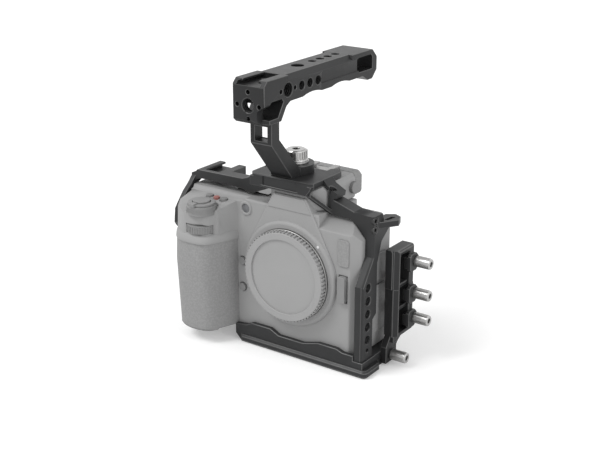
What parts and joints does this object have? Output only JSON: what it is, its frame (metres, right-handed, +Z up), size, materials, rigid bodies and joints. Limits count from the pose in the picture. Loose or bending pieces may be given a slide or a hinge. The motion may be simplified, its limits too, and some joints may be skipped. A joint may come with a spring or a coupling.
{
  "type": "cinema camera rig",
  "caption": "Mirrorless camera with a body cap, held in a black screwed cage with a top handle on an angled stem, an accessory shoe over the grip and a cable clamp beside the ports.",
  "frame": {"origin": "on the underside of the cage's base plate, under the lens axis, in the plane of the camera housing's front face", "axes": "+Z up; the lens looks along -Y; +X points away from the grip, towards the ports and the cable clamp"},
  "size_m": [0.1807, 0.1357, 0.2034],
  "materials": {
    "cage_metal": "fine matte anodised black",
    "handle_metal": "matte anodised black",
    "clamp_metal": "matte anodised black",
    "black_steel": "black oxide screws",
    "bright_steel": "bright nickel-plated steel",
    "pad_rubber": "matt black rubber",
    "camera_shell": "fine-grained painted magnesium, mid grey",
    "camera_rubber": "leather-grained rubber",
    "camera_controls": "matt plastic controls",
    "cap_plastic": "matt moulded plastic",
    "mount_steel": "turned stainless ring",
    "record_red": "red plastic",
    "display_glass": "dark display glass"
  },
  "bodies": {
    "rig": {"cage_base_plate": "cage_metal", "cage_side_arm": "cage_metal", "cage_shoulder": "cage_metal", "cage_top_plate": "cage_metal", "cage_grip_arm": "cage_metal", "cage_screws": "black_steel", "camera_screw": "black_steel", "base_pads": "pad_rubber", "handle_frame": "handle_metal", "handle_pins": "black_steel", "shoe_stop": "black_steel", "clamp_bracket": "clamp_metal", "clamp_block": "clamp_metal", "camera_housing": "camera_shell", "grip_rubber": "camera_rubber", "camera_hump": "camera_shell", "hot_shoe": "mount_steel", "mount_surround": "camera_shell", "lens_mount": "mount_steel", "shutter_collar": "camera_controls", "eyecup": "camera_rubber", "finder_glass": "display_glass", "top_display": "display_glass"},
    "handle_washer": {"handle_washer": "bright_steel"},
    "handle_screw": {"handle_screw": "bright_steel"},
    "screen_frame": {"screen_frame": "camera_shell"},
    "rear_screen": {"rear_screen": "camera_shell", "screen_pane": "display_glass"},
    "clamp_jaw_1": {"clamp_jaw_1": "clamp_metal"},
    "clamp_screw_1": {"clamp_screw_1": "bright_steel"},
    "clamp_jaw_2": {"clamp_jaw_2": "clamp_metal"},
    "clamp_screw_2": {"clamp_screw_2": "bright_steel"},
    "clamp_jaw_3": {"clamp_jaw_3": "clamp_metal"},
    "clamp_screw_3": {"clamp_screw_3": "bright_steel"},
    "clamp_washer": {"clamp_washer": "black_steel"},
    "clamp_fixing_screw": {"clamp_fixing_screw": "bright_steel"},
    "body_cap": {"body_cap": "cap_plastic"},
    "lens_release": {"lens_release": "camera_controls"},
    "front_cover": {"front_cover": "camera_rubber"},
    "power_switch": {"power_switch": "camera_controls"},
    "shutter_button": {"shutter_button": "camera_controls"},
    "record_button": {"record_button": "record_red"},
    "iso_button": {"iso_button": "camera_controls"},
    "exposure_button": {"exposure_button": "camera_controls"},
    "fn_button_1": {"fn_button_1": "camera_controls"},
    "fn_button_2": {"fn_button_2": "camera_controls"},
    "af_on_button": {"af_on_button": "camera_controls"},
    "play_button": {"play_button": "camera_controls"},
    "delete_button": {"delete_button": "camera_controls"},
    "zoom_button": {"zoom_button": "camera_controls"},
    "menu_button": {"menu_button": "camera_controls"},
    "front_dial": {"front_dial": "camera_controls"},
    "rear_dial": {"rear_dial": "camera_controls"},
    "diopter_dial": {"diopter_dial": "camera_controls"},
    "multi_selector": {"multi_selector": "camera_controls"},
    "joystick": {"joystick": "camera_controls"},
    "card_door": {"card_door": "camera_shell"},
    "battery_door": {"battery_door": "camera_shell"},
    "port_cover_upper": {"port_cover_upper": "camera_rubber"},
    "port_cover_lower": {"port_cover_lower": "camera_rubber"}
  },
  "joints": [
    {"name": "handle_washer_lift", "type": "slide", "parent": "rig", "child": "handle_washer", "axis": [0, 0, 1], "range_m": [0, 0.00476]},
    {"name": "handle_screw_turn", "type": "hinge", "parent": "handle_washer", "child": "handle_screw", "pos_m": [-0.0058, 0.0153, 0.14], "axis": [0, 0, 1], "range_deg": [0, 1081.5]},
    {"name": "clamp_jaw_1_shut", "type": "slide", "parent": "rig", "child": "clamp_jaw_1", "axis": [-1, 0, 0], "range_m": [0, 0.0014]},
    {"name": "clamp_screw_1_turn", "type": "hinge", "parent": "clamp_jaw_1", "child": "clamp_screw_1", "pos_m": [0.08, 0.0426, 0.0735], "axis": [-1, 0, 0], "range_deg": [0, 721.5]},
    {"name": "clamp_jaw_2_shut", "type": "slide", "parent": "rig", "child": "clamp_jaw_2", "axis": [-1, 0, 0], "range_m": [0, 0.0014]},
    {"name": "clamp_screw_2_turn", "type": "hinge", "parent": "clamp_jaw_2", "child": "clamp_screw_2", "pos_m": [0.08, 0.0426, 0.05], "axis": [-1, 0, 0], "range_deg": [0, 721.5]},
    {"name": "clamp_jaw_3_shut", "type": "slide", "parent": "rig", "child": "clamp_jaw_3", "axis": [-1, 0, 0], "range_m": [0, 0.0014]},
    {"name": "clamp_screw_3_turn", "type": "hinge", "parent": "clamp_jaw_3", "child": "clamp_screw_3", "pos_m": [0.08, 0.0426, 0.0315], "axis": [-1, 0, 0], "range_deg": [0, 721.5]},
    {"name": "clamp_washer_out", "type": "slide", "parent": "rig", "child": "clamp_washer", "axis": [1, 0, 0], "range_m": [0, 0.0021]},
    {"name": "clamp_fixing_screw_turn", "type": "hinge", "parent": "clamp_washer", "child": "clamp_fixing_screw", "pos_m": [0.07, 0.027, 0.0072], "axis": [1, 0, 0], "range_deg": [0, 1081.5]},
    {"name": "body_cap_twist", "type": "hinge", "parent": "rig", "child": "body_cap", "pos_m": [0, -0.006, 0.061], "axis": [0, -1, 0], "range_deg": [0, 40]},
    {"name": "lens_release_press", "type": "slide", "parent": "rig", "child": "lens_release", "axis": [0, 1, 0], "range_m": [0, 0.0006], "stiffness_N_per_m": 250, "springref_m": -0.002},
    {"name": "front_cover_open", "type": "hinge", "parent": "rig", "child": "front_cover", "pos_m": [0.048, -0.001, 0.0855], "axis": [0, 0, 1], "range_deg": [0, 110]},
    {"name": "power_switch_turn", "type": "hinge", "parent": "rig", "child": "power_switch", "pos_m": [-0.0635, -0.0175, 0.105], "axis": [0, 0, 1], "range_deg": [0, 35]},
    {"name": "shutter_button_press", "type": "slide", "parent": "rig", "child": "shutter_button", "axis": [0, 0, -1], "range_m": [0, 0.0008], "stiffness_N_per_m": 250, "springref_m": -0.002},
    {"name": "record_button_press", "type": "slide", "parent": "rig", "child": "record_button", "axis": [0, 0, -1], "range_m": [0, 0.0006], "stiffness_N_per_m": 250, "springref_m": -0.002},
    {"name": "iso_button_press", "type": "slide", "parent": "rig", "child": "iso_button", "axis": [0, 0, -1], "range_m": [0, 0.0006], "stiffness_N_per_m": 250, "springref_m": -0.002},
    {"name": "exposure_button_press", "type": "slide", "parent": "rig", "child": "exposure_button", "axis": [0, 0, -1], "range_m": [0, 0.0006], "stiffness_N_per_m": 250, "springref_m": -0.002},
    {"name": "fn_button_1_press", "type": "slide", "parent": "rig", "child": "fn_button_1", "axis": [0, 1, 0], "range_m": [0, 0.0006], "stiffness_N_per_m": 250, "springref_m": -0.002},
    {"name": "fn_button_2_press", "type": "slide", "parent": "rig", "child": "fn_button_2", "axis": [0, 1, 0], "range_m": [0, 0.0006], "stiffness_N_per_m": 250, "springref_m": -0.002},
    {"name": "af_on_button_press", "type": "slide", "parent": "rig", "child": "af_on_button", "axis": [0, -1, 0], "range_m": [0, 0.0006], "stiffness_N_per_m": 250, "springref_m": -0.002},
    {"name": "play_button_press", "type": "slide", "parent": "rig", "child": "play_button", "axis": [0, -1, 0], "range_m": [0, 0.0006], "stiffness_N_per_m": 250, "springref_m": -0.002},
    {"name": "delete_button_press", "type": "slide", "parent": "rig", "child": "delete_button", "axis": [0, -1, 0], "range_m": [0, 0.0006], "stiffness_N_per_m": 250, "springref_m": -0.002},
    {"name": "zoom_button_press", "type": "slide", "parent": "rig", "child": "zoom_button", "axis": [0, -1, 0], "range_m": [0, 0.0006], "stiffness_N_per_m": 250, "springref_m": -0.002},
    {"name": "menu_button_press", "type": "slide", "parent": "rig", "child": "menu_button", "axis": [0, -1, 0], "range_m": [0, 0.0006], "stiffness_N_per_m": 250, "springref_m": -0.002},
    {"name": "front_dial_turn", "type": "hinge", "parent": "rig", "child": "front_dial", "pos_m": [-0.0645, -0.0164, 0.0875], "axis": [0, 0, 1], "continuous": true},
    {"name": "rear_dial_turn", "type": "hinge", "parent": "rig", "child": "rear_dial", "pos_m": [-0.076, 0.035, 0.10195], "axis": [0, 0, 1], "continuous": true},
    {"name": "diopter_dial_turn", "type": "hinge", "parent": "rig", "child": "diopter_dial", "pos_m": [0.024, 0.0414, 0.1172], "axis": [1, 0, 0], "range_deg": [-150, 150]},
    {"name": "multi_selector_tilt", "type": "hinge", "parent": "rig", "child": "multi_selector", "pos_m": [-0.0705, 0.044, 0.06], "axis": [1, 0, 0], "range_deg": [-4, 4], "stiffness_Nm_per_rad": 0.05},
    {"name": "joystick_tilt", "type": "hinge", "parent": "rig", "child": "joystick", "pos_m": [-0.0705, 0.042, 0.08], "axis": [1, 0, 0], "range_deg": [-8, 8], "stiffness_Nm_per_rad": 0.02},
    {"name": "screen_frame_tilt", "type": "hinge", "parent": "rig", "child": "screen_frame", "pos_m": [-0.012, 0.045, 0.0306], "axis": [-1, 0, 0], "range_deg": [0, 43]},
    {"name": "rear_screen_tilt", "type": "hinge", "parent": "screen_frame", "child": "rear_screen", "pos_m": [-0.012, 0.046, 0.0814], "axis": [1, 0, 0], "range_deg": [0, 85]},
    {"name": "card_door_open", "type": "hinge", "parent": "rig", "child": "card_door", "pos_m": [-0.0911, 0.004, 0.051], "axis": [0, 0, 1], "range_deg": [0, 95]},
    {"name": "battery_door_open", "type": "hinge", "parent": "rig", "child": "battery_door", "pos_m": [-0.068, -0.014, 0.0094], "axis": [-1, 0, 0], "range_deg": [0, 14]},
    {"name": "port_cover_upper_open", "type": "hinge", "parent": "rig", "child": "port_cover_upper", "pos_m": [0.0557, 0.0165, 0.07], "axis": [0, 0, -1], "range_deg": [0, 14]},
    {"name": "port_cover_lower_open", "type": "hinge", "parent": "rig", "child": "port_cover_lower", "pos_m": [0.0557, 0.0165, 0.04], "axis": [0, 0, -1], "range_deg": [0, 14]}
  ],
  "couplings": [
    {"joint": "handle_screw_turn", "follows": "handle_washer_lift", "rad_per_m": 3957.9},
    {"joint": "clamp_screw_1_turn", "follows": "clamp_jaw_1_shut", "rad_per_m": 8976},
    {"joint": "clamp_screw_2_turn", "follows": "clamp_jaw_2_shut", "rad_per_m": 8976},
    {"joint": "clamp_screw_3_turn", "follows": "clamp_jaw_3_shut", "rad_per_m": 8976},
    {"joint": "clamp_fixing_screw_turn", "follows": "clamp_washer_out", "rad_per_m": 8976}
  ]
}
